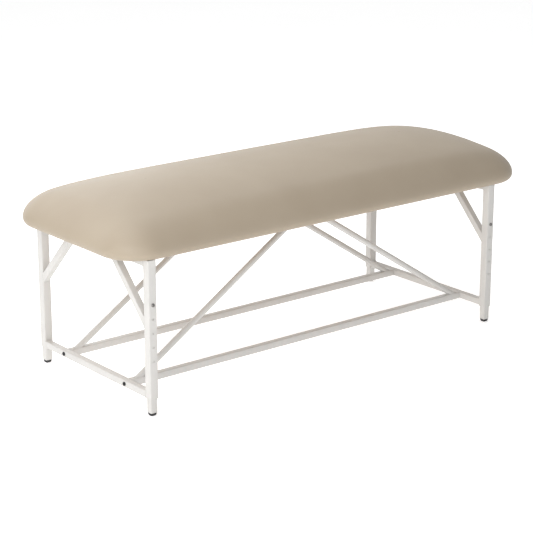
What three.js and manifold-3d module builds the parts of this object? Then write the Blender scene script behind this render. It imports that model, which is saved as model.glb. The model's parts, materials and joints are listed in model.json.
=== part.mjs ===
// Height-adjustable examination couch: a domed vinyl pad on a white steel frame.
//
// Two welded end frames (legs, cross rails, knee braces) are bolted to two side trusses
// (side rails and round diagonal braces). Each leg is a square tube with a smaller square
// tube sliding in it. A screw through the leg holds the inner tube at one of five heights.
//
// Millimetres, +Z up. +X runs along the couch and -Y is its front long side. The origin is on
// the floor under the pad's middle, with the legs at their shortest.

import * as THREE from 'three';
import { mergeVertices } from 'three/addons/utils/BufferGeometryUtils.js';
import Module from 'manifold-3d';

const wasm = await Module();
wasm.setup();

// ---------------------------------------------------------------- driving dimensions

const GAP = 0.3; // left between pieces that touch

// Legs
const FRAME_SHIFT = -27; // the frame is bolted on a little to the left of the pad's middle
const LEG_X = 799; // leg centre line to the middle of the frame, along its length
const LEG_Y = 337; // the same, across its width
const LEG_SIZE = 32;
const LEG_WALL = 2.5;
const LEG_BOTTOM = 63;
const FRAME_TOP = 556.5;

// Sliding inner legs
const EXTENSION_SIZE = 26;
const EXTENSION_WALL = 1.5;
const EXTENSION_TOP = 465.5;
const HEIGHT_HOLES = 5;
const HEIGHT_STEP = 50;
const TOP_HOLE_Z = 399.5;
const HEIGHT_HOLE_RADIUS = 4.3;

// Foot plugs
const FOOT_HEIGHT = 11;
const FOOT_RIM = 2; // upright part of the foot's edge
const FOOT_BASE = 16;
const FOOT_STEM_HEIGHT = 22;
const FOOT_CORNER = 3;

// Rails and braces
const RAIL_SIZE = 25;
const RAIL_WALL = 1.5;
const SIDE_RAIL_Y = 194.5;
const KNEE_FOOT_Z = 333.5; // where a knee brace's centre line meets its leg
const KNEE_HEAD_Y = 131; // and where it meets the top cross rail
const DIAGONAL_RADIUS = 11;
const DIAGONAL_WALL = 1.5;
const DIAGONAL_FOOT_X = 753; // where a diagonal's centre line meets the lower side rail
const DIAGONAL_HEAD_X = 64; // where it meets the upper side rail
const TUBE_CORNER = 2.4;

// Fasteners
const FRAME_BOLT = { headRadius: 7.5, headHeight: 4.5, shankRadius: 4, length: 42, socket: 3 };
const HEIGHT_SCREW = { headRadius: 6.5, headHeight: 4.5, shankRadius: 4, length: 3, socket: 3 };
const BOARD_SCREW = { headRadius: 6, headHeight: 3.5, shankRadius: 3, length: 38, socket: 2.2 };
const BOARD_SCREW_X = 620;
const INSERT_LENGTH = 18; // threaded block in the end of a side rail
const NUT_SIZE = 13; // square nut welded inside an inner leg
const NUT_HEIGHT = 6;

// Pad
const PAD_LENGTH = 1900;
const PAD_WIDTH = 750;
const PAD_CORNER = 150; // in plan
const UNDER_ROLL_IN = 28; // how far the lower edge tucks in, and how high it rises
const UNDER_ROLL_UP = 28;
const SIDE_ROLL_IN = 110; // the same for the roll from the widest line up to the top
const SIDE_ROLL_UP = 68;
const CROWN = 82; // how much the dome rises from there to the middle
const CROWN_END_POWER = 6.4; // a high power keeps the dome level until near the ends
const COVER_THICKNESS = 1.5;
const COVER_TURN_IN = 44; // flange of cover stapled under the board
const BOARD_THICKNESS = 15;
const BOARD_INSET = 42; // board edge to the pad's widest line
const BOARD_HOLE_DEPTH = 13;

// ---------------------------------------------------------------- derived heights

const HALF_LEG = LEG_SIZE / 2;
const HALF_RAIL = RAIL_SIZE / 2;
const END_FACE_X = LEG_X + HALF_LEG;
const CROSS_RAIL_X = END_FACE_X - HALF_RAIL;
const LOWER_RAIL_Z = LEG_BOTTOM + HALF_RAIL;
const UPPER_RAIL_Z = FRAME_TOP - HALF_RAIL;
const PAD_BOTTOM = FRAME_TOP + GAP;
const BOARD_BOTTOM = PAD_BOTTOM + COVER_THICKNESS + GAP;

// ---------------------------------------------------------------- materials

function finish(color, roughness, metalness) {
  return () => new THREE.MeshStandardMaterial({ color, roughness, metalness });
}

const whitePaint = finish(0xeeeeec, 0.4, 0);
const vinyl = finish(0xc6b8a4, 0.5, 0);
const foamYellow = finish(0xe6dcae, 0.95, 0);
const plywood = finish(0xc9a873, 0.75, 0);
const blackPlastic = finish(0x161616, 0.55, 0);
const blackSteel = finish(0x1c1c1d, 0.4, 0.8);
const zincSteel = finish(0xa9abad, 0.35, 1);

// ---------------------------------------------------------------- solids

function solid(geometry) {
  const bare = geometry.clone();
  bare.deleteAttribute('normal');
  bare.deleteAttribute('uv');
  const merged = mergeVertices(bare, 1e-4);
  return new wasm.Manifold(new wasm.Mesh({
    numProp: 3,
    vertProperties: new Float32Array(merged.attributes.position.array),
    triVerts: new Uint32Array(merged.index.array),
  }));
}

function geometryOf(manifold) {
  const mesh = manifold.getMesh();
  const geometry = new THREE.BufferGeometry();
  geometry.setAttribute('position', new THREE.BufferAttribute(mesh.vertProperties, 3));
  geometry.setIndex(new THREE.BufferAttribute(mesh.triVerts, 1));
  geometry.computeVertexNormals();
  return geometry;
}

function cut(geometry, cutters) {
  const rest = cutters.reduce((whole, cutter) => whole.subtract(solid(cutter)), solid(geometry));
  return geometryOf(rest);
}

function box(sizeX, sizeY, sizeZ, x = 0, y = 0, z = 0) {
  return new THREE.BoxGeometry(sizeX, sizeY, sizeZ).translate(x, y, z);
}

// A round bar along Z, centred on the origin.
function roundBar(radius, length, sides = 12) {
  return new THREE.CylinderGeometry(radius, radius, length, sides).rotateX(Math.PI / 2);
}

function squareShape(size, corner) {
  const half = size / 2;
  const shape = new THREE.Shape();
  shape.moveTo(half, -half + corner);
  shape.absarc(half - corner, half - corner, corner, 0, Math.PI / 2);
  shape.absarc(-half + corner, half - corner, corner, Math.PI / 2, Math.PI);
  shape.absarc(-half + corner, -half + corner, corner, Math.PI, Math.PI * 1.5);
  shape.absarc(half - corner, -half + corner, corner, Math.PI * 1.5, Math.PI * 2);
  return shape;
}

function squareHole(size) {
  const half = size / 2;
  return new THREE.Path([
    new THREE.Vector2(-half, -half),
    new THREE.Vector2(half, -half),
    new THREE.Vector2(half, half),
    new THREE.Vector2(-half, half),
  ]);
}

// A square tube with open ends along Z, centred on the origin.
function squareTube(size, wall, length) {
  const shape = squareShape(size, TUBE_CORNER);
  shape.holes.push(squareHole(size - 2 * wall));
  const options = { depth: length, bevelEnabled: false, curveSegments: 2 };
  return new THREE.ExtrudeGeometry(shape, options).translate(0, 0, -length / 2);
}

function roundTube(radius, wall, length) {
  const shape = new THREE.Shape().absarc(0, 0, radius, 0, Math.PI * 2);
  shape.holes.push(new THREE.Path().absarc(0, 0, radius - wall, 0, Math.PI * 2));
  const options = { depth: length, bevelEnabled: false, curveSegments: 12 };
  return new THREE.ExtrudeGeometry(shape, options).translate(0, 0, -length / 2);
}

// The slanting tube trimmed by its two neighbours: only what is inside the block stays.
function trimmed(tube, block) {
  return geometryOf(solid(tube).intersect(solid(block)));
}

// A button-head socket screw. The head stands on the origin along +Z, the shank goes down.
function screw({ headRadius, headHeight, shankRadius, length, socket }) {
  const profile = [
    new THREE.Vector2(0, -length),
    new THREE.Vector2(shankRadius, -length),
    new THREE.Vector2(shankRadius, 0),
    new THREE.Vector2(headRadius, 0),
    new THREE.Vector2(headRadius, headHeight * 0.4),
    new THREE.Vector2(headRadius * 0.87, headHeight * 0.75),
    new THREE.Vector2(headRadius * 0.6, headHeight),
    new THREE.Vector2(0, headHeight),
  ];
  const body = new THREE.LatheGeometry(profile, 14).rotateX(Math.PI / 2);
  const key = roundBar(socket, headHeight, 6).translate(0, 0, headHeight);
  return cut(body, [key]);
}

// ---------------------------------------------------------------- scene helpers

const couch = new THREE.Group();
const frame = new THREE.Group();
frame.position.x = FRAME_SHIFT;
couch.add(frame);

function addPiece(parent, name, geometry, material, x = 0, y = 0, z = 0) {
  const mesh = new THREE.Mesh(geometry, material());
  mesh.name = name;
  mesh.position.set(x, y, z);
  parent.add(mesh);
  return mesh;
}

// Each end frame and side truss is made once for one side and turned half round for the other,
// so a name has to follow the turn.
function turnedGroup(turned) {
  const group = new THREE.Group();
  group.rotation.z = turned ? Math.PI : 0;
  frame.add(group);
  return group;
}

function sideName(sideY, turned) {
  return (sideY < 0) === turned ? 'rear' : 'front';
}

function endName(endX, turned) {
  return (endX < 0) === turned ? 'right' : 'left';
}

// ---------------------------------------------------------------- legs

// The holes for the height screw are in the face towards -Y.
function legGeometry() {
  const length = FRAME_TOP - LEG_BOTTOM;
  const tube = squareTube(LEG_SIZE, LEG_WALL, length).translate(0, 0, LEG_BOTTOM + length / 2);
  const drills = [];
  for (let step = 0; step < HEIGHT_HOLES; step += 1) {
    const drill = roundBar(HEIGHT_HOLE_RADIUS, 2 * LEG_WALL + 2).rotateX(Math.PI / 2);
    drills.push(drill.translate(0, -HALF_LEG, TOP_HOLE_Z - step * HEIGHT_STEP));
  }
  return cut(tube, drills);
}

function extensionGeometry() {
  const length = EXTENSION_TOP - FOOT_HEIGHT - GAP;
  const tube = squareTube(EXTENSION_SIZE, EXTENSION_WALL, length);
  tube.translate(0, 0, EXTENSION_TOP - length / 2);
  const drill = roundBar(HEIGHT_HOLE_RADIUS, 2 * EXTENSION_WALL + 2).rotateX(Math.PI / 2);
  drill.translate(0, -EXTENSION_SIZE / 2, TOP_HOLE_Z);
  return cut(tube, [drill]);
}

function nutGeometry() {
  const bore = EXTENSION_SIZE / 2 - EXTENSION_WALL;
  const block = box(NUT_SIZE, NUT_HEIGHT, NUT_SIZE);
  const thread = roundBar(FRAME_BOLT.shankRadius, NUT_HEIGHT + 2).rotateX(Math.PI / 2);
  const y = -bore + GAP + NUT_HEIGHT / 2;
  return cut(block, [thread]).translate(0, y, TOP_HOLE_Z);
}

// A foot plug is a stem inside the inner leg over a foot with rounded lower edges.
function footGeometry() {
  const stemSize = EXTENSION_SIZE - 2 * EXTENSION_WALL - 2 * GAP;
  const stem = box(stemSize, stemSize, FOOT_STEM_HEIGHT);
  stem.translate(0, 0, FOOT_HEIGHT + FOOT_STEM_HEIGHT / 2 - 1);
  const roundHeight = FOOT_HEIGHT - FOOT_RIM;
  const inset = (EXTENSION_SIZE - FOOT_BASE) / 2;
  const foot = new THREE.ExtrudeGeometry(squareShape(FOOT_BASE, FOOT_CORNER), {
    depth: FOOT_RIM,
    curveSegments: 2,
    bevelThickness: roundHeight,
    bevelSize: inset,
    bevelSegments: 3,
  });
  // The bevel is on both ends: the lower one rounds the foot and the upper one is cut off.
  foot.translate(0, 0, roundHeight);
  const rim = box(2 * EXTENSION_SIZE, 2 * EXTENSION_SIZE, FOOT_HEIGHT, 0, 0, FOOT_HEIGHT / 2);
  return geometryOf(solid(foot).intersect(solid(rim)).add(solid(stem)));
}

const leg = legGeometry();
const extension = extensionGeometry();
const nut = nutGeometry();
const foot = footGeometry();
const heightScrew = screw(HEIGHT_SCREW);

// One leg with its sliding inner tube, standing on (x, y), its screw on the outer long side.
function addLeg(parent, x, y, place) {
  const corner = new THREE.Group();
  corner.position.set(x, y, 0);
  corner.rotation.z = y < 0 ? 0 : Math.PI;
  parent.add(corner);
  addPiece(corner, `leg_${place}`, leg, whitePaint);
  addPiece(corner, `leg_extension_${place}`, extension, whitePaint);
  addPiece(corner, `leg_nut_${place}`, nut, zincSteel);
  addPiece(corner, `foot_plug_${place}`, foot, blackPlastic);
  const faceY = -HALF_LEG - GAP;
  const piece = addPiece(corner, `height_screw_${place}`, heightScrew, zincSteel, 0, faceY, TOP_HOLE_Z);
  piece.rotation.x = Math.PI / 2;
}

// ---------------------------------------------------------------- end frames

function crossRailGeometry() {
  const length = 2 * (LEG_Y - HALF_LEG - GAP);
  const tube = squareTube(RAIL_SIZE, RAIL_WALL, length).rotateX(Math.PI / 2);
  const drills = [-1, 1].map((side) => {
    const drill = roundBar(FRAME_BOLT.shankRadius + GAP, 2 * RAIL_SIZE).rotateY(Math.PI / 2);
    return drill.translate(0, side * SIDE_RAIL_Y, 0);
  });
  return cut(tube, drills);
}

// From the front leg's inner face up to the underside of the top cross rail.
function kneeBraceGeometry() {
  const legFace = LEG_Y - HALF_LEG;
  const railFace = FRAME_TOP - RAIL_SIZE;
  const run = legFace - KNEE_HEAD_Y;
  const rise = railFace - KNEE_FOOT_Z;
  const length = Math.hypot(run, rise) + 4 * RAIL_SIZE;
  const tube = squareTube(RAIL_SIZE, RAIL_WALL, length).rotateX(-Math.atan2(run, rise));
  tube.translate(0, -legFace + run / 2, KNEE_FOOT_Z + rise / 2);
  const reach = 2 * rise;
  const block = box(2 * RAIL_SIZE, reach, reach);
  block.translate(0, -legFace + GAP + reach / 2, railFace - GAP - reach / 2);
  return trimmed(tube, block);
}

const crossRail = crossRailGeometry();
const kneeBrace = kneeBraceGeometry();
const frameBolt = screw(FRAME_BOLT);

function addEndFrame(turned) {
  const endFrame = turnedGroup(turned);
  const end = endName(1, turned);
  for (const [level, z] of [['bottom', LOWER_RAIL_Z], ['top', UPPER_RAIL_Z]]) {
    addPiece(endFrame, `${level}_cross_rail_${end}`, crossRail, whitePaint, CROSS_RAIL_X, 0, z);
    for (const side of [-1, 1]) {
      const name = `${level}_frame_bolt_${sideName(side, turned)}_${end}`;
      const y = side * SIDE_RAIL_Y;
      const bolt = addPiece(endFrame, name, frameBolt, blackSteel, END_FACE_X + GAP, y, z);
      bolt.rotation.y = Math.PI / 2;
    }
  }
  for (const side of [-1, 1]) {
    const place = `${sideName(side, turned)}_${end}`;
    addLeg(endFrame, LEG_X, side * LEG_Y, place);
    const brace = addPiece(endFrame, `knee_brace_${place}`, kneeBrace, whitePaint, CROSS_RAIL_X);
    brace.rotation.z = side < 0 ? 0 : Math.PI;
  }
}

// ---------------------------------------------------------------- side trusses

function sideRailGeometry() {
  const length = 2 * (END_FACE_X - RAIL_SIZE - GAP);
  return squareTube(RAIL_SIZE, RAIL_WALL, length).rotateY(Math.PI / 2);
}

// The upper rail has a clear hole through both walls for each board screw.
function drilledSideRailGeometry() {
  const drills = [-1, 1].map((end) => (
    roundBar(BOARD_SCREW.shankRadius + GAP, 2 * RAIL_SIZE).translate(end * BOARD_SCREW_X, 0, 0)
  ));
  return cut(sideRailGeometry(), drills);
}

// The diagonal towards +X, from the lower rail's top face up to the upper rail's underside.
function diagonalGeometry() {
  const low = LEG_BOTTOM + RAIL_SIZE;
  const high = FRAME_TOP - RAIL_SIZE;
  const run = DIAGONAL_FOOT_X - DIAGONAL_HEAD_X;
  const slope = Math.atan2(run, high - low);
  const length = Math.hypot(run, high - low) + 8 * DIAGONAL_RADIUS;
  const tube = roundTube(DIAGONAL_RADIUS, DIAGONAL_WALL, length).rotateY(-slope);
  tube.translate((DIAGONAL_FOOT_X + DIAGONAL_HEAD_X) / 2, 0, (low + high) / 2);
  const between = box(4 * run, RAIL_SIZE, high - low - 2 * GAP, 0, 0, (low + high) / 2);
  return trimmed(tube, between);
}

function insertGeometry() {
  const size = RAIL_SIZE - 2 * RAIL_WALL - 2 * GAP;
  const thread = roundBar(FRAME_BOLT.shankRadius + GAP, 2 * INSERT_LENGTH).rotateY(Math.PI / 2);
  return cut(box(INSERT_LENGTH, size, size), [thread]);
}

const lowerSideRail = sideRailGeometry();
const upperSideRail = drilledSideRailGeometry();
const diagonal = diagonalGeometry();
const railInsert = insertGeometry();
const boardScrew = screw(BOARD_SCREW);

function addSideTruss(turned) {
  const truss = turnedGroup(turned);
  const side = sideName(-1, turned);
  addPiece(truss, `lower_side_rail_${side}`, lowerSideRail, whitePaint, 0, -SIDE_RAIL_Y, LOWER_RAIL_Z);
  addPiece(truss, `upper_side_rail_${side}`, upperSideRail, whitePaint, 0, -SIDE_RAIL_Y, UPPER_RAIL_Z);
  for (const end of [-1, 1]) {
    const place = `${side}_${endName(end, turned)}`;
    const brace = addPiece(truss, `diagonal_brace_${place}`, diagonal, whitePaint, 0, -SIDE_RAIL_Y, 0);
    brace.rotation.z = end > 0 ? 0 : Math.PI;
    const insertX = end * (END_FACE_X - RAIL_SIZE - 2 * GAP - INSERT_LENGTH / 2);
    addPiece(truss, `lower_rail_insert_${place}`, railInsert, zincSteel, insertX, -SIDE_RAIL_Y, LOWER_RAIL_Z);
    addPiece(truss, `upper_rail_insert_${place}`, railInsert, zincSteel, insertX, -SIDE_RAIL_Y, UPPER_RAIL_Z);
    const underRail = FRAME_TOP - RAIL_SIZE - GAP;
    const fixing = addPiece(
      truss, `board_screw_${place}`, boardScrew, zincSteel, end * BOARD_SCREW_X, -SIDE_RAIL_Y, underRail,
    );
    fixing.rotation.x = Math.PI;
  }
}

// ---------------------------------------------------------------- pad

// A rounded rectangle from the middle of its +X side, anticlockwise. Point n and point
// (count - n) mirror each other across the X axis.
function padOutline(halfLength, halfWidth, radius) {
  const cornerSteps = 5;
  const points = [];
  const addLine = (fromX, fromY, toX, toY, steps) => {
    for (let step = 0; step < steps; step += 1) {
      const part = step / steps;
      points.push([fromX + (toX - fromX) * part, fromY + (toY - fromY) * part]);
    }
  };
  const addCorner = (centreX, centreY, from) => {
    for (let step = 0; step < cornerSteps; step += 1) {
      const angle = from + (Math.PI / 2) * (step / cornerSteps);
      points.push([centreX + radius * Math.cos(angle), centreY + radius * Math.sin(angle)]);
    }
  };
  const straightX = halfLength - radius;
  const straightY = halfWidth - radius;
  addLine(halfLength, 0, halfLength, straightY, 2);
  addCorner(straightX, straightY, 0);
  addLine(straightX, halfWidth, -straightX, halfWidth, 8);
  addCorner(-straightX, straightY, Math.PI / 2);
  addLine(-halfLength, straightY, -halfLength, -straightY, 4);
  addCorner(-straightX, -straightY, Math.PI);
  addLine(-straightX, -halfWidth, straightX, -halfWidth, 8);
  addCorner(straightX, -straightY, Math.PI * 1.5);
  addLine(halfLength, -straightY, halfLength, 0, 2);
  return points;
}

// One level line of the pad, a distance in from its widest line. The dome is added to it, in
// full where the ring is on the top (share 1) and not at all at the widest line (share 0).
function padRing(depth, inward, height, share) {
  const inset = depth + inward;
  const radius = Math.max(PAD_CORNER - inset, 5);
  const outline = padOutline(PAD_LENGTH / 2 - inset, PAD_WIDTH / 2 - inset, radius);
  return outline.map(([x, y]) => {
    const along = 1 - Math.abs(x / (PAD_LENGTH / 2)) ** CROWN_END_POWER;
    const across = 1 - (y / (PAD_WIDTH / 2)) ** 2;
    return [x, y, PAD_BOTTOM + height + CROWN * share * along * across];
  });
}

// The level lines of the surface that lies a given depth under the pad's outer surface, from
// its lower edge over the widest line to the top.
function padRings(depth) {
  const rings = [];
  const underIn = UNDER_ROLL_IN - depth;
  const underUp = UNDER_ROLL_UP - depth;
  const underSteps = 4;
  for (let step = 0; step <= underSteps; step += 1) {
    const angle = (Math.PI / 2) * (step / underSteps);
    rings.push(padRing(depth, underIn * (1 - Math.sin(angle)), depth + underUp * (1 - Math.cos(angle)), 0));
  }
  const sideIn = SIDE_ROLL_IN - depth;
  const sideUp = SIDE_ROLL_UP - depth;
  const sideSteps = 5;
  for (let step = 1; step <= sideSteps; step += 1) {
    const angle = (Math.PI / 2) * (step / sideSteps);
    const share = Math.sin(angle);
    rings.push(padRing(depth, sideIn * (1 - Math.cos(angle)), UNDER_ROLL_UP + sideUp * share, share));
  }
  for (const inward of [140, 185, 240, 300, 350]) {
    rings.push(padRing(depth, inward - depth, UNDER_ROLL_UP + sideUp, 1));
  }
  return rings;
}

// A closed surface through the rings in order, with the first and last ring capped.
function ringSolid(rings) {
  const count = rings[0].length;
  const index = [];
  for (let level = 0; level + 1 < rings.length; level += 1) {
    for (let n = 0; n < count; n += 1) {
      const a = level * count + n;
      const b = level * count + ((n + 1) % count);
      index.push(a, b, b + count, a, b + count, a + count);
    }
  }
  const addCap = (level, upward) => {
    const at = (n) => level * count + (n % count);
    const addTriangle = (p, q, r) => index.push(...(upward ? [p, q, r] : [p, r, q]));
    for (let n = 0; n < count / 2; n += 1) {
      if (n + 1 < count / 2) addTriangle(at(n), at(n + 1), at(count - n - 1));
      if (n > 0) addTriangle(at(n), at(count - n - 1), at(count - n));
    }
  };
  addCap(0, false);
  addCap(rings.length - 1, true);
  const geometry = new THREE.BufferGeometry();
  geometry.setAttribute('position', new THREE.Float32BufferAttribute(rings.flat(2), 3));
  geometry.setIndex(index);
  geometry.computeVertexNormals();
  return geometry;
}

// A flat plate with the pad's outline, its edge a given distance in from the widest line.
function plateGeometry(inset, height) {
  const radius = PAD_CORNER - inset;
  const outline = padOutline(PAD_LENGTH / 2 - inset, PAD_WIDTH / 2 - inset, radius);
  const shape = new THREE.Shape(outline.map(([x, y]) => new THREE.Vector2(x, y)));
  return new THREE.ExtrudeGeometry(shape, { depth: height, bevelEnabled: false });
}

// The cover is a skin, open underneath inside a flange that is turned in under the board.
function coverGeometry() {
  const inside = ringSolid(padRings(COVER_THICKNESS));
  const opening = plateGeometry(UNDER_ROLL_IN + COVER_TURN_IN, 2 * COVER_THICKNESS);
  opening.translate(0, 0, PAD_BOTTOM - COVER_THICKNESS + GAP);
  return cut(ringSolid(padRings(0)), [inside, opening]);
}

function drilledBoardGeometry() {
  const board = plateGeometry(BOARD_INSET, BOARD_THICKNESS).translate(0, 0, BOARD_BOTTOM);
  const drills = [];
  for (const end of [-1, 1]) {
    for (const side of [-1, 1]) {
      const drill = roundBar(BOARD_SCREW.shankRadius + GAP, 2 * BOARD_HOLE_DEPTH);
      const x = FRAME_SHIFT + end * BOARD_SCREW_X;
      drills.push(drill.translate(x, side * SIDE_RAIL_Y, BOARD_BOTTOM));
    }
  }
  return cut(board, drills);
}

// The foam fills the cover and has the board let into its underside.
function foamGeometry() {
  const block = ringSolid(padRings(COVER_THICKNESS + GAP));
  const pocket = plateGeometry(BOARD_INSET - GAP, 2 * (BOARD_THICKNESS + GAP));
  pocket.translate(0, 0, BOARD_BOTTOM - BOARD_THICKNESS - GAP);
  return cut(block, [pocket]);
}

// ---------------------------------------------------------------- assembly

for (const turned of [false, true]) {
  addEndFrame(turned);
  addSideTruss(turned);
}
addPiece(couch, 'pad_board', drilledBoardGeometry(), plywood);
addPiece(couch, 'pad_foam', foamGeometry(), foamYellow);
addPiece(couch, 'pad_cover', coverGeometry(), vinyl);

export default couch;
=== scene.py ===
"""Looks for the examination couch: a domed vinyl pad on a white powder-coated frame.

Metres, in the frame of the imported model. +X runs along the couch, -Y is its front long side.
"""

import json
import math

import bmesh
import bpy
from mathutils import Matrix, Vector, noise
from mathutils.kdtree import KDTree


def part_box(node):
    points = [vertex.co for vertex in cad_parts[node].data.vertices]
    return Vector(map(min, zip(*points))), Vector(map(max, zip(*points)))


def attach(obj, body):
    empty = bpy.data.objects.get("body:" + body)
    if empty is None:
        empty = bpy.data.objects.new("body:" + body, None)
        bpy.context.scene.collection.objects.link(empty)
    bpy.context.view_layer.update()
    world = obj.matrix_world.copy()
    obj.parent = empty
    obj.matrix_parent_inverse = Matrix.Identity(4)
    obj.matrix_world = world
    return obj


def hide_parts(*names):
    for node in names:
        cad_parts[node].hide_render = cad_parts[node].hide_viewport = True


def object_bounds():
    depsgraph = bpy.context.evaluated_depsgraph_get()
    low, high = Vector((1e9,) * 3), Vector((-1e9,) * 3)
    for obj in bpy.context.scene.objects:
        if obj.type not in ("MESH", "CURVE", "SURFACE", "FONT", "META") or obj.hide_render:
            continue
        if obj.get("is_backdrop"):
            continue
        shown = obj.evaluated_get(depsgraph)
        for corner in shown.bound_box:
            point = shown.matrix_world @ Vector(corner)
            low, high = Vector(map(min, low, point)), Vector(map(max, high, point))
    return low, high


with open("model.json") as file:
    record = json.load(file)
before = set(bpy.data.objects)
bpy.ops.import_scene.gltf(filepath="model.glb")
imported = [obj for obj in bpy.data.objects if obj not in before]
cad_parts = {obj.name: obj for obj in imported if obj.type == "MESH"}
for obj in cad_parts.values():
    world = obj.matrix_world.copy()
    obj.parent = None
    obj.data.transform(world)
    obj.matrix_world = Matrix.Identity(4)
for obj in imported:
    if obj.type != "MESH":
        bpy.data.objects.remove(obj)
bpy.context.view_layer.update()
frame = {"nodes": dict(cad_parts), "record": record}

MM = 0.001
ENDS = {"left": -1, "right": 1}
SIDES = {"front": -1, "rear": 1}


def clamp(value):
    return min(1, max(0, value))


# ---------------------------------------------------------------- camera


def make_camera():
    data = bpy.data.cameras.new("camera")
    data.lens = 120
    data.sensor_width = 36
    camera = bpy.data.objects.new("camera", data)
    bpy.context.scene.collection.objects.link(camera)
    camera.location = (-4.0448, -5.0059, 2.2758)
    toward = Vector((0.5953, 0.7476, -0.2946))
    camera.rotation_euler = toward.to_track_quat("-Z", "Y").to_euler()
    bpy.context.scene.camera = camera


make_camera()

# ---------------------------------------------------------------- node helpers


def add_node(tree, kind, **settings):
    node = tree.nodes.new(kind)
    for key, value in settings.items():
        setattr(node, key, value)
    return node


class Shader:
    """A material under construction.

    Its coordinates are metres in the frame of the couch, so the scale of a noise or of cells is
    the number of its features in a metre. The distance of a bump is its height in metres.
    """

    def __init__(self, name):
        self.material = bpy.data.materials.new(name)
        self.material.use_nodes = True
        self.tree = self.material.node_tree
        self.bsdf = self.tree.nodes["Principled BSDF"]
        self.place = self.add("ShaderNodeTexCoord").outputs["Object"]

    def add(self, kind, **settings):
        return add_node(self.tree, kind, **settings)

    def link(self, output, target):
        self.tree.links.new(output, target)

    def set(self, **values):
        """Plain numbers and colours straight on the shader's sockets."""
        for key, value in values.items():
            self.bsdf.inputs[key.replace("_", " ")].default_value = value

    def stretch(self, scale):
        mapping = self.add("ShaderNodeMapping")
        mapping.inputs["Scale"].default_value = scale
        self.link(self.place, mapping.inputs["Vector"])
        return mapping.outputs["Vector"]

    def noise(self, scale, detail, roughness=0.5, where=None):
        node = self.add("ShaderNodeTexNoise")
        node.inputs["Scale"].default_value = scale
        node.inputs["Detail"].default_value = detail
        node.inputs["Roughness"].default_value = roughness
        self.link(where or self.place, node.inputs["Vector"])
        return node.outputs["Fac"]

    def cells(self, scale, feature):
        node = self.add("ShaderNodeTexVoronoi", feature=feature)
        node.inputs["Scale"].default_value = scale
        self.link(self.place, node.inputs["Vector"])
        return node.outputs["Distance"]

    def remap(self, value, low, high, to_low, to_high):
        node = self.add("ShaderNodeMapRange")
        for socket, number in zip(node.inputs[1:5], (low, high, to_low, to_high)):
            socket.default_value = number
        self.link(value, node.inputs[0])
        return node.outputs[0]

    def ramp(self, value, stops):
        node = self.add("ShaderNodeValToRGB")
        elements = node.color_ramp.elements
        while len(elements) < len(stops):
            elements.new(0.5)
        for element, (position, color) in zip(elements, stops):
            element.position = position
            element.color = (*color, 1)
        self.link(value, node.inputs[0])
        return node.outputs[0]

    def math(self, operation, first, second=0):
        node = self.add("ShaderNodeMath", operation=operation)
        for socket, value in zip(node.inputs, (first, second)):
            if isinstance(value, (int, float)):
                socket.default_value = value
            else:
                self.link(value, socket)
        return node.outputs[0]

    def bump(self, height, distance, strength, under=None):
        node = self.add("ShaderNodeBump")
        node.inputs["Strength"].default_value = strength
        node.inputs["Distance"].default_value = distance
        self.link(height, node.inputs["Height"])
        if under:
            self.link(under, node.inputs["Normal"])
        return node.outputs["Normal"]

    def finish(self, color, roughness, normal=None):
        self.link(color, self.bsdf.inputs["Base Color"])
        self.link(roughness, self.bsdf.inputs["Roughness"])
        if normal:
            self.link(normal, self.bsdf.inputs["Normal"])
        return self.material


# ---------------------------------------------------------------- materials


def vinyl_material():
    """Beige upholstery vinyl: a fine pebbled grain, a soft sheen and slightly uneven colour."""
    shader = Shader("beige_vinyl")
    shader.set(Specular_IOR_Level=0.47)
    cloud = shader.noise(5, 2)
    mottle = shader.noise(420, 3, 0.6)
    pebbles = shader.cells(620, "SMOOTH_F1")
    creases = shader.cells(330, "DISTANCE_TO_EDGE")
    tint = shader.math("ADD", shader.math("MULTIPLY", cloud, 0.7), shader.math("MULTIPLY", mottle, 0.3))
    color = shader.ramp(tint, [(0.3, (0.357, 0.295, 0.2205)), (0.7, (0.385, 0.322, 0.2436))])
    roughness = shader.remap(mottle, 0.3, 0.7, 0.47, 0.55)
    grain = shader.bump(pebbles, 0.22 * MM, 0.35)
    grain = shader.bump(shader.remap(creases, 0, 0.12, 0, 1), 0.12 * MM, 0.25, grain)
    return shader.finish(color, roughness, grain)


def paint_material():
    """White powder coat: slight orange peel, with thin scuffs that are a little duller."""
    shader = Shader("white_powder_coat")
    shader.set(Specular_IOR_Level=0.3)
    cloud = shader.noise(9, 3)
    peel = shader.noise(520, 2, 0.45)
    speck = shader.noise(1900, 2, 0.6)
    scuffs = shader.noise(60, 6, 0.7, shader.stretch((1, 1, 6)))
    color = shader.ramp(cloud, [(0.3, (0.575, 0.563, 0.543)), (0.7, (0.605, 0.593, 0.572))])
    dull = shader.remap(scuffs, 0.62, 0.75, 0, 0.16)
    roughness = shader.math("ADD", shader.remap(peel, 0.3, 0.7, 0.34, 0.42), dull)
    normal = shader.bump(peel, 0.25 * MM, 0.4)
    normal = shader.bump(speck, 0.04 * MM, 0.3, normal)
    return shader.finish(color, roughness, normal)


def plastic_material():
    """Black moulded plastic with a spark-eroded texture, greyer where it has rubbed."""
    shader = Shader("black_moulded_plastic")
    shader.set(Specular_IOR_Level=0.45)
    texture = shader.noise(1500, 3, 0.6)
    rub = shader.noise(140, 5, 0.65)
    color = shader.ramp(rub, [(0.5, (0.012, 0.012, 0.013)), (0.75, (0.045, 0.044, 0.043))])
    roughness = shader.remap(rub, 0.3, 0.8, 0.42, 0.7)
    return shader.finish(color, roughness, shader.bump(texture, 0.08 * MM, 0.5))


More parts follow.
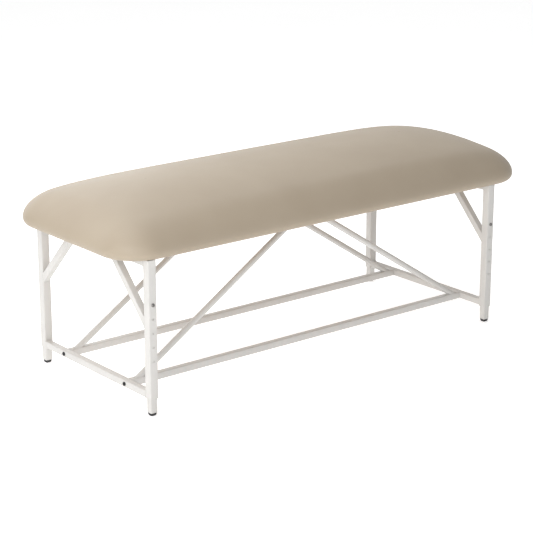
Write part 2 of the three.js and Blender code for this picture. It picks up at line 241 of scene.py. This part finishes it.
def metal_material(name, dark, light, smoothest, roughest):
    """Plated or blackened steel with fine turning marks and patchy sheen."""
    shader = Shader(name)
    shader.set(Metallic=1)
    patches = shader.noise(260, 4, 0.6)
    marks = shader.noise(2600, 2, 0.5, shader.stretch((1, 1, 0.25)))
    color = shader.ramp(patches, [(0.3, dark), (0.7, light)])
    roughness = shader.remap(patches, 0.3, 0.7, smoothest, roughest)
    return shader.finish(color, roughness, shader.bump(marks, 0.03 * MM, 0.4))


def plywood_material():
    """Rotary-cut plywood: long figure on the faces and thin plies round the edge."""
    two_plies = 3 * MM
    shader = Shader("plywood")
    shader.set(Specular_IOR_Level=0.3)
    figure = shader.noise(14, 6, 0.62, shader.stretch((0.35, 5, 1)))
    fibres = shader.noise(700, 3, 0.6, shader.stretch((0.03, 1, 1)))
    split = shader.add("ShaderNodeSeparateXYZ")
    shader.link(shader.place, split.inputs[0])
    plies = shader.math("SINE", shader.math("MULTIPLY", split.outputs["Z"], 2 * math.pi / two_plies))
    plies = shader.remap(plies, -0.2, 0.2, 0, 0.3)
    grain = shader.math("ADD", shader.math("MULTIPLY", figure, 0.75), shader.math("MULTIPLY", fibres, 0.3))
    color = shader.ramp(shader.math("SUBTRACT", grain, plies), [
        (0.15, (0.30, 0.17, 0.075)),
        (0.45, (0.50, 0.32, 0.16)),
        (0.7, (0.66, 0.47, 0.26)),
    ])
    roughness = shader.remap(fibres, 0.3, 0.7, 0.6, 0.8)
    return shader.finish(color, roughness, shader.bump(fibres, 0.1 * MM, 0.5))


def foam_material():
    """Yellowish open-cell foam."""
    shader = Shader("foam")
    shader.set(Specular_IOR_Level=0.1)
    cells = shader.cells(900, "F1")
    cloud = shader.noise(12, 3)
    color = shader.ramp(cloud, [(0.3, (0.70, 0.60, 0.34)), (0.7, (0.79, 0.71, 0.45))])
    roughness = shader.remap(cells, 0, 0.6, 0.85, 1)
    return shader.finish(color, roughness, shader.bump(cells, 0.6 * MM, 0.8))


VINYL = vinyl_material()
PAINT = paint_material()
PLASTIC = plastic_material()
ZINC = metal_material("zinc_plated_steel", (0.46, 0.47, 0.48), (0.60, 0.61, 0.62), 0.28, 0.42)
DULL_STEEL = metal_material("dulled_zinc_steel", (0.20, 0.195, 0.19), (0.31, 0.30, 0.29), 0.4, 0.55)
BLACK_STEEL = metal_material("black_oxide_steel", (0.03, 0.03, 0.032), (0.06, 0.06, 0.06), 0.35, 0.5)
PLYWOOD = plywood_material()
FOAM = foam_material()

SLOT_MATERIALS = {
    "white_paint": PAINT,
    "board_wood": PLYWOOD,
    "foot_plastic": PLASTIC,
    "black_steel": BLACK_STEEL,
    "zinc_steel": ZINC,
}
SAME_POINT = 0.01 * MM
SHARP_EDGE = math.radians(32)


def dress_cad_nodes():
    """Gives each solid that stays its own finish, and rounds off its facets in the shading."""
    for entry in frame["record"]["subparts"]:
        material = SLOT_MATERIALS.get(entry["material_slot"])
        if entry["node"].startswith("height_screw"):
            material = DULL_STEEL
        if material is None:
            continue
        node = frame["nodes"][entry["node"]]
        if not node.material_slots:
            node.data.materials.append(material)
        for slot in node.material_slots:
            slot.material = material
        weld = node.modifiers.new("weld", "WELD")
        weld.merge_threshold = SAME_POINT
        for polygon in node.data.polygons:
            polygon.use_smooth = True
        split = node.modifiers.new("edges", "EDGE_SPLIT")
        split.split_angle = SHARP_EDGE


dress_cad_nodes()

# ---------------------------------------------------------------- mesh helpers


def new_piece(name, mesh, material):
    piece = bpy.data.objects.new(name, mesh)
    bpy.context.scene.collection.objects.link(piece)
    mesh.materials.append(material)
    for polygon in mesh.polygons:
        polygon.use_smooth = True
    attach(piece, "couch")
    return piece


def mesh_from_rings(name, rings):
    """A closed surface through rings of equal length, both ends capped by strips across Y."""
    count = len(rings[0])
    vertices = [point for ring in rings for point in ring]
    faces = []
    for level in range(len(rings) - 1):
        for n in range(count):
            a = level * count + n
            b = level * count + (n + 1) % count
            faces.append((a, b, b + count, a + count))
    for level, upward in ((0, False), (len(rings) - 1, True)):
        for n in range(count // 2):
            across = [n, n + 1, count - n - 1, (count - n) % count]
            corners = [level * count + k for k in dict.fromkeys(across)]
            faces.append(corners if upward else corners[::-1])
    mesh = bpy.data.meshes.new(name)
    mesh.from_pydata(vertices, [], faces)
    return mesh


def mesh_from_build(name, build):
    mesh = bpy.data.meshes.new(name)
    build.to_mesh(mesh)
    build.free()
    return mesh


# ---------------------------------------------------------------- pad's shape

PAD_LOW, PAD_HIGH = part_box("pad_cover")
LEG_LOW, LEG_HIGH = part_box("leg_front_right")
HALF_LENGTH = PAD_HIGH.x
HALF_WIDTH = PAD_HIGH.y
PAD_CORNER = 150 * MM

# The roll from the underside out to the widest line, and the roll from there in to the top.
UNDER_IN, UNDER_UP = 28 * MM, 28 * MM
SIDE_IN, SIDE_UP = 110 * MM, 68 * MM
UNDER_STEPS = 8
SIDE_STEPS = 14

# How far the top domes up in the middle, and how squarely it falls off towards the ends.
CROWN = PAD_HIGH.z - PAD_LOW.z - UNDER_UP - SIDE_UP
CROWN_END_POWER = 6.4

# Corner radius of a level line on the top, as a share of its half width, and its rise inwards.
EDGE_ROUNDNESS = 0.15
ROUNDNESS_RISE = 0.8
LAST_RING = 18 * MM

COVER = 1.5 * MM
TURN_IN = 44 * MM

# The vinyl's broad hollows and fine ripples: the depth of each, how many there are in a metre
# along X and along Y, and the level at which the noise is cut.
UNEVENNESS = (
    (0.6 * MM, 3.1, 4.3, 1.7),
    (0.2 * MM, 11, 13, 8.2),
)

# Gathers under each corner, in degrees round it from the end towards the long side.
PLEATS_FROM, PLEATS_TO = 6, 66
PLEATS_EASE = 8
PLEAT_PITCH = 10
PLEAT_DEPTH = 1.6 * MM


def pad_outline(inset, step):
    """A rounded rectangle, anticlockwise from the middle of its +X side, every quarter alike.

    It has the same number of points for every inset, so that neighbouring rings match.
    """
    half_x, half_y = HALF_LENGTH - inset, HALF_WIDTH - inset
    inner = clamp((inset - SIDE_IN) / (HALF_WIDTH - SIDE_IN))
    radius = max(PAD_CORNER - inset, half_y * (EDGE_ROUNDNESS + ROUNDNESS_RISE * inner))
    flat_x, flat_y = half_x - radius, half_y - radius
    steps_corner = round(PAD_CORNER * math.pi / 2 / step)
    steps_x = round(2 * (HALF_LENGTH - PAD_CORNER) / step)
    steps_y = round((HALF_WIDTH - PAD_CORNER) / step)
    quarter = [(half_x, flat_y * n / steps_y) for n in range(steps_y)]
    for n in range(steps_corner):
        angle = math.pi / 2 * n / steps_corner
        quarter.append((flat_x + radius * math.cos(angle), flat_y + radius * math.sin(angle)))
    side = [(flat_x - 2 * flat_x * n / steps_x, half_y) for n in range(steps_x)]
    mirrored = [(-x, y) for x, y in reversed(quarter)]
    half = [*quarter, *side, (-flat_x, half_y), *mirrored]
    return half + [(x, -y) for x, y in reversed(half[1:-1])]


def pleats(x, y):
    """How fully the gathered cover hangs at a place on the underside: 0 away from the corners."""
    across, along = abs(y) - (HALF_WIDTH - PAD_CORNER), abs(x) - (HALF_LENGTH - PAD_CORNER)
    if across <= 0 or along <= 0:
        return 0
    angle = math.degrees(math.atan2(across, along))
    window = clamp((angle - PLEATS_FROM) / PLEATS_EASE) * clamp((PLEATS_TO - angle) / PLEATS_EASE)
    return window * (0.5 + 0.5 * math.cos(2 * math.pi * angle / PLEAT_PITCH))


def pad_ring(depth, inward, height, share, step):
    """One level line, raised in its middle by its share of the crown."""
    ring = []
    for x, y in pad_outline(depth + inward, step):
        along = 1 - abs(x / HALF_LENGTH) ** CROWN_END_POWER
        across = 1 - (y / HALF_WIDTH) ** 2
        z = PAD_LOW.z + height + CROWN * share * along * across
        ring.append(Vector((x, y, z)))
    return ring


def pad_rings(depth, step):
    """The level lines a given depth under the pad's surface, from its lower edge to its top."""
    rings = []
    under_in, under_up = UNDER_IN - depth, UNDER_UP - depth
    for n in range(UNDER_STEPS + 1):
        angle = math.pi / 2 * n / UNDER_STEPS
        height = depth + under_up * (1 - math.cos(angle))
        rings.append(pad_ring(depth, under_in * (1 - math.sin(angle)), height, 0, step))
    side_in, side_up = SIDE_IN - depth, SIDE_UP - depth
    for n in range(1, SIDE_STEPS + 1):
        angle = math.pi / 2 * n / SIDE_STEPS
        share = math.sin(angle)
        inward = side_in * (1 - math.cos(angle))
        rings.append(pad_ring(depth, inward, UNDER_UP + side_up * share, share, step))
    inward = SIDE_IN
    while inward + step < HALF_WIDTH - LAST_RING:
        inward += step
        rings.append(pad_ring(depth, inward - depth, UNDER_UP + side_up, 1, step))
    return rings


# ---------------------------------------------------------------- pad's swelling


class Swell:
    """How far the stuffed cover bulges or pulls in, from a short cloth simulation of it.

    The closed cover is pressed outwards against its own stiffness while its lower edge is held.
    The pad's size already includes the average swelling, so only the rest of it is used.
    """

    ROUGH_STEP = 24 * MM
    VOXEL = 18 * MM
    HELD_BELOW = 0.3 * UNDER_UP
    STILL_BELOW = 0.4 * UNDER_UP
    QUALITY = 5
    PRESSURE = 4
    FRAMES = 20
    TAIL = 0.05
    LEAST_SPREAD = 0.5 * MM
    MOST = 1.6 * MM
    REACH = 20 * MM
    SEARCH = 2.5 * REACH

    def __init__(self):
        self.tree = None
        points, faces, moved = self.simulate()
        self.normals = self.vertex_normals(points, faces)
        bulge = [(after - before).dot(normal)
                 for before, after, normal in zip(points, moved, self.normals)]
        above = sorted(b for b, point in zip(bulge, points) if point.z > PAD_LOW.z + UNDER_UP)
        average = above[len(above) // 2]
        spread = above[int((1 - self.TAIL) * len(above))] - above[int(self.TAIL * len(above))]
        self.gain = min(1, 2 * self.MOST / max(spread, self.LEAST_SPREAD))
        self.bulge = [b - average for b in bulge]
        self.tree = KDTree(len(points))
        for n, point in enumerate(points):
            self.tree.insert(point, n)
        self.tree.balance()

    @staticmethod
    def vertex_normals(points, faces):
        totals = [Vector() for _ in points]
        for face in faces:
            a, b, c = (points[k] for k in face[:3])
            normal = (b - a).cross(c - a)
            for k in face:
                totals[k] += normal
        return [total.normalized() for total in totals]

    @classmethod
    def even_mesh(cls):
        """The pad's surface as one mesh with faces of even size."""
        rough_mesh = mesh_from_rings("rough", pad_rings(0, cls.ROUGH_STEP))
        rough = bpy.data.objects.new("rough", rough_mesh)
        bpy.context.scene.collection.objects.link(rough)
        even = rough.modifiers.new("even", "REMESH")
        even.mode = "VOXEL"
        even.voxel_size = cls.VOXEL
        graph = bpy.context.evaluated_depsgraph_get()
        mesh = bpy.data.meshes.new_from_object(rough.evaluated_get(graph))
        bpy.data.objects.remove(rough)
        bpy.data.meshes.remove(rough_mesh)
        return mesh

    @classmethod
    def simulate(cls):
        """The points of the even mesh, its faces, and where the simulation moves the points."""
        scene = bpy.context.scene
        mesh = cls.even_mesh()
        points = [vertex.co.copy() for vertex in mesh.vertices]
        faces = [tuple(polygon.vertices) for polygon in mesh.polygons]
        shell = bpy.data.objects.new("shell", mesh)
        scene.collection.objects.link(shell)
        held = [n for n, point in enumerate(points) if point.z < PAD_LOW.z + cls.HELD_BELOW]
        shell.vertex_groups.new(name="held").add(held, 1, "REPLACE")
        cloth = shell.modifiers.new("cloth", "CLOTH")
        cloth.settings.quality = cls.QUALITY
        cloth.settings.use_pressure = True
        cloth.settings.uniform_pressure_force = cls.PRESSURE
        cloth.settings.vertex_group_mass = "held"
        cloth.settings.effector_weights.gravity = 0
        cloth.point_cache.frame_end = cls.FRAMES
        for number in range(1, cls.FRAMES + 1):
            scene.frame_set(number)
        graph = bpy.context.evaluated_depsgraph_get()
        moved = [vertex.co.copy() for vertex in shell.evaluated_get(graph).data.vertices]
        bpy.data.objects.remove(shell)
        bpy.data.meshes.remove(mesh)
        scene.frame_set(1)
        return points, faces, moved

    def __call__(self, point):
        """The move at a place on the pad's surface: the smoothed moves of the points near it."""
        if self.tree is None:
            return Vector()
        amount, normal, total = 0, Vector(), 0
        for _, n, distance in self.tree.find_range(point, self.SEARCH):
            weight = math.exp(-0.5 * (distance / self.REACH) ** 2)
            amount += weight * self.bulge[n]
            normal += weight * self.normals[n]
            total += weight
        if not total:
            return Vector()
        amount = self.gain * amount / total
        amount = self.MOST * math.tanh(amount / self.MOST)
        above = point.z - PAD_LOW.z - self.STILL_BELOW
        return normal.normalized() * amount * clamp(above / (UNDER_UP - self.STILL_BELOW))


swell = Swell()


def stuffed(rings):
    """The same rings where the stuffed cover bulges or pulls in."""
    return [[point + swell(point) for point in ring] for ring in rings]


# ---------------------------------------------------------------- pad's pieces


def soften(rings):
    """Lowers the rings by the slight unevenness of stretched vinyl."""
    for ring in rings:
        for point in ring:
            x, y = point.x, point.y
            for depth, along, across, level in UNEVENNESS:
                point.z -= depth * (1 + noise.noise(Vector((x * along, y * across, level))))


def gather(ring, share):
    """Lets the gathers at a ring on the underside hang by a share of their full depth."""
    for point in ring:
        point.z -= PLEAT_DEPTH * share * pleats(point.x, point.y)


def make_cover():
    """One closed skin: down its inside, in under the board, back out and up its outside."""
    step = 12 * MM
    turn_in_shares = (1, 0.75, 0.5, 0.25)
    hang_shares = (1, 0.9, 0.75, 0.5, 0.25)
    inside = stuffed(pad_rings(COVER, step))[::-1]
    inside.append(pad_ring(0, UNDER_IN + TURN_IN, COVER, 0, step))
    outside = stuffed(pad_rings(0, step))
    soften(outside[UNDER_STEPS + 1:])
    under = [pad_ring(0, UNDER_IN + TURN_IN * share, 0, 0, step) for share in turn_in_shares]
    for ring, share in zip([*under, outside[0]], hang_shares):
        gather(ring, share)
    mesh = mesh_from_rings("pad_upholstery", [*inside, *under, *outside])
    piece = new_piece("pad_upholstery", mesh, VINYL)
    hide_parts("pad_cover")


def make_foam():
    """The block that fills the cover, with a pocket underneath for the board."""
    step = 25 * MM
    room = 0.3 * MM
    slot_in_middle = 8 * MM
    depth = COVER + room
    _, board_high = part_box("pad_board")
    inset = HALF_LENGTH - board_high.x - room
    ceiling = board_high.z + room - PAD_LOW.z
    pocket = [
        pad_ring(0, HALF_WIDTH - slot_in_middle, ceiling, 0, step),
        pad_ring(0, inset, ceiling, 0, step),
        pad_ring(0, inset, depth, 0, step),
    ]
    mesh = mesh_from_rings("pad_foam_block", [*pocket, *stuffed(pad_rings(depth, step))])
    piece = new_piece("pad_foam_block", mesh, FOAM)
    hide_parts("pad_foam")


def make_staples():
    """The staples that hold the cover's turned-in edge, along it all the way round."""
    half_length, half_wire, rounding = 5.5 * MM, 0.55 * MM, 0.25 * MM
    spacing = 45 * MM
    near_leg_x, near_leg_y = 50 * MM, 100 * MM
    full_pleat = 0.7
    crooked = 0.12
    sunk = 0.4 * half_wire
    outline = pad_outline(UNDER_IN + 0.8 * TURN_IN, 3 * MM)
    size = Matrix.Diagonal((half_length, half_wire, half_wire, 1))
    build = bmesh.new()
    travelled = 0
    for n, (x, y) in enumerate(outline):
        ahead = outline[(n + 1) % len(outline)]
        travelled += math.hypot(ahead[0] - x, ahead[1] - y)
        if travelled < spacing:
            continue
        travelled = 0
        near_leg = abs(abs(x) - LEG_LOW.x) < near_leg_x and abs(y) > HALF_WIDTH - near_leg_y
        if near_leg or pleats(x, y) > full_pleat:
            continue
        heading = math.atan2(ahead[1] - y, ahead[0] - x) + crooked * math.sin(n * 1.7)
        turn = Matrix.Rotation(heading, 4, "Z")
        spot = Matrix.Translation((x, y, PAD_LOW.z - sunk))
        bmesh.ops.create_cube(build, size=2, matrix=spot @ turn @ size)
    bmesh.ops.bevel(build, geom=list(build.edges), offset=rounding, segments=2, affect="EDGES")
    piece = new_piece("pad_staples", mesh_from_build("pad_staples", build), ZINC)


make_cover()
make_foam()
make_staples()

# ---------------------------------------------------------------- welds

ON_PLANE = 0.5 * MM
BEAD_STEP = 1.2 * MM
BEAD_RADIUS = 1.7 * MM
FLUSH_RADIUS = 0.45 * MM
FLUSH_WITHIN = 0.3 * MM
BEAD_SIDES = 8
BEAD_RIPPLE = 0.1
BEAD_LUMPS = 0.12


def half_hull(ordered):
    """One side of the convex hull of points in order, without its last point."""
    hull = []
    for p in ordered:
        while len(hull) > 1:
            a, b = hull[-2], hull[-1]
            if (b[0] - a[0]) * (p[1] - a[1]) - (b[1] - a[1]) * (p[0] - a[0]) > 0:
                break
            hull.pop()
        hull.append(p)
    return hull[:-1]


def end_loop(node, axis, value):
    """The outline of a tube where it ends at a plane across an axis, as points all round it."""
    others = [k for k in range(3) if k != axis]
    places = set()
    for vertex in frame["nodes"][node].data.vertices:
        if abs(vertex.co[axis] - value) < ON_PLANE:
            places.add(tuple(round(vertex.co[k], 6) for k in others))
    points = sorted(places)
    hull = half_hull(points) + half_hull(points[::-1])
    loop = []
    for n, here in enumerate(hull):
        there = hull[(n + 1) % len(hull)]
        steps = max(1, round(math.dist(here, there) / BEAD_STEP))
        for k in range(steps):
            spot = Vector()
            spot[axis] = value
            for other, start, finish in zip(others, here, there):
                spot[other] = start + (finish - start) * k / steps
            loop.append(spot)
    return loop


def add_bead(build, loop, seed):
    """A weld bead round a loop, thin where the two tubes are flush with each other."""
    centre = sum(loop, Vector()) / len(loop)
    normal = (loop[0] - centre).cross(loop[len(loop) // 4] - centre).normalized()
    rings = []
    for n, point in enumerate(loop):
        tangent = (loop[(n + 1) % len(loop)] - loop[n - 1]).normalized()
        outward = tangent.cross(normal)
        flush = abs(abs(point.x) - LEG_HIGH.x) < FLUSH_WITHIN
        lump = 1 + BEAD_RIPPLE * math.sin(n * 2.1 + seed) + BEAD_LUMPS * noise.noise(point * 300)
        radius = (FLUSH_RADIUS if flush else BEAD_RADIUS) * lump
        ring = []
        for side in range(BEAD_SIDES):
            angle = 2 * math.pi * side / BEAD_SIDES
            spoke = math.cos(angle) * outward + math.sin(angle) * normal
            ring.append(build.verts.new(point + radius * spoke))
        rings.append(ring)
    for n, ring in enumerate(rings):
        following = rings[(n + 1) % len(rings)]
        for side in range(BEAD_SIDES):
            turn = (side + 1) % BEAD_SIDES
            build.faces.new((ring[side], following[side], following[turn], ring[turn]))


def make_welds(name, seams):
    build = bmesh.new()
    for seed, (node, axis, value) in enumerate(seams):
        add_bead(build, end_loop(node, axis, value), seed)
    bmesh.ops.recalc_face_normals(build, faces=list(build.faces))
    piece = new_piece(name, mesh_from_build(name, build), PAINT)


for end in ENDS:
    seams = []
    for rail in (f"bottom_cross_rail_{end}", f"top_cross_rail_{end}"):
        low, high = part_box(rail)
        seams += [(rail, 1, low.y), (rail, 1, high.y)]
    for side, sign in SIDES.items():
        brace = f"knee_brace_{side}_{end}"
        low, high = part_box(brace)
        seams += [(brace, 1, high.y if sign > 0 else low.y), (brace, 2, high.z)]
    make_welds(f"end_frame_welds_{end}", seams)

for side in SIDES:
    seams = []
    for end in ENDS:
        brace = f"diagonal_brace_{side}_{end}"
        low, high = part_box(brace)
        seams += [(brace, 2, low.z), (brace, 2, high.z)]
    make_welds(f"side_truss_welds_{side}", seams)

# ---------------------------------------------------------------- studio

# The place, the size and the watts of each light, and the point that all of them face.
LIGHTS = {
    "left_front": ((-3.8, -2.6, 2.4), (4, 3), 144),
    "top_left": ((-1.6, 0.2, 3.2), (2, 2), 29),
    "top": ((0, 0.3, 3.4), (3.5, 1.5), 34),
    "back_top": ((0, 3.2, 2.6), (4, 1.5), 25),
    "back": ((0, 4.5, 1.2), (5, 1.6), 29),
}
FACED = Vector((0, 0, 0.45))
FLOOR_REACH = 60


def area_light(name, place, size, power):
    data = bpy.data.lights.new(name, "AREA")
    data.shape = "RECTANGLE"
    data.size, data.size_y = size
    data.energy = power
    light = bpy.data.objects.new(name, data)
    bpy.context.scene.collection.objects.link(light)
    light.location = place
    light.rotation_euler = (FACED - Vector(place)).to_track_quat("-Z", "Y").to_euler()
    light.visible_camera = False


def floor_material():
    """A white sweep lit from within, so that the couch stands on plain white."""
    shader = Shader("studio_floor")
    shader.set(Emission_Color=(1, 1, 1, 1), Specular_IOR_Level=0)
    distance = shader.add("ShaderNodeVectorMath", operation="LENGTH")
    shader.link(shader.place, distance.inputs[0])
    glow = shader.remap(distance.outputs["Value"], 1.2, 3, 0.56, 0.66)
    shader.link(glow, shader.bsdf.inputs["Emission Strength"])
    cloud = shader.noise(1.5, 2)
    color = shader.ramp(cloud, [(0.3, (0.86, 0.86, 0.86)), (0.7, (0.88, 0.88, 0.88))])
    return shader.finish(color, shader.remap(cloud, 0, 1, 0.9, 1))


def make_floor():
    mesh = bpy.data.meshes.new("floor")
    corners = [(-FLOOR_REACH, -FLOOR_REACH, 0), (FLOOR_REACH, -FLOOR_REACH, 0),
               (FLOOR_REACH, FLOOR_REACH, 0), (-FLOOR_REACH, FLOOR_REACH, 0)]
    mesh.from_pydata(corners, [], [(0, 1, 2, 3)])
    mesh.materials.append(floor_material())
    floor = bpy.data.objects.new("floor", mesh)
    bpy.context.scene.collection.objects.link(floor)
    floor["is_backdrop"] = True


def make_world():
    """Walls that are light low on the right and higher up behind, and dark elsewhere.

    A ramp over height holds how bright the left, the right and the back are at that height.
    """
    world = bpy.data.worlds.new("studio")
    world.use_nodes = True
    tree = world.node_tree
    place = add_node(tree, "ShaderNodeTexCoord")
    split = add_node(tree, "ShaderNodeSeparateXYZ")
    sides = add_node(tree, "ShaderNodeCombineXYZ")
    facing = add_node(tree, "ShaderNodeVectorMath", operation="MULTIPLY_ADD")
    facing.inputs[1].default_value = (-1, 1, 1)
    facing.inputs[2].default_value = (1, 1, 1)
    levels = add_node(tree, "ShaderNodeVectorMath", operation="DOT_PRODUCT")
    ramp = add_node(tree, "ShaderNodeValToRGB")
    elements = ramp.color_ramp.elements
    elements.new(0.5)
    heights = ((0.1, (0, 0.403, 0.046)), (0.45, (0, 0, 0.906)), (0.85, (0, 0, 0)))
    for element, (height, level) in zip(elements, heights):
        element.position = height
        element.color = (*level, 1)
    tree.links.new(place.outputs["Generated"], split.inputs[0])
    for source, target in (("X", 0), ("X", 1), ("Y", 2)):
        tree.links.new(split.outputs[source], sides.inputs[target])
    tree.links.new(sides.outputs[0], facing.inputs[0])
    tree.links.new(split.outputs["Z"], ramp.inputs[0])
    tree.links.new(facing.outputs["Vector"], levels.inputs[0])
    tree.links.new(ramp.outputs[0], levels.inputs[1])
    tree.links.new(levels.outputs["Value"], tree.nodes["Background"].inputs["Color"])
    bpy.context.scene.world = world


make_floor()
make_world()
for name, (place, size, power) in LIGHTS.items():
    area_light(name, place, size, power)
bpy.context.scene.view_settings.view_transform = "Standard"

# ---------------------------------------------------------------- sizes

low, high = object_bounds()
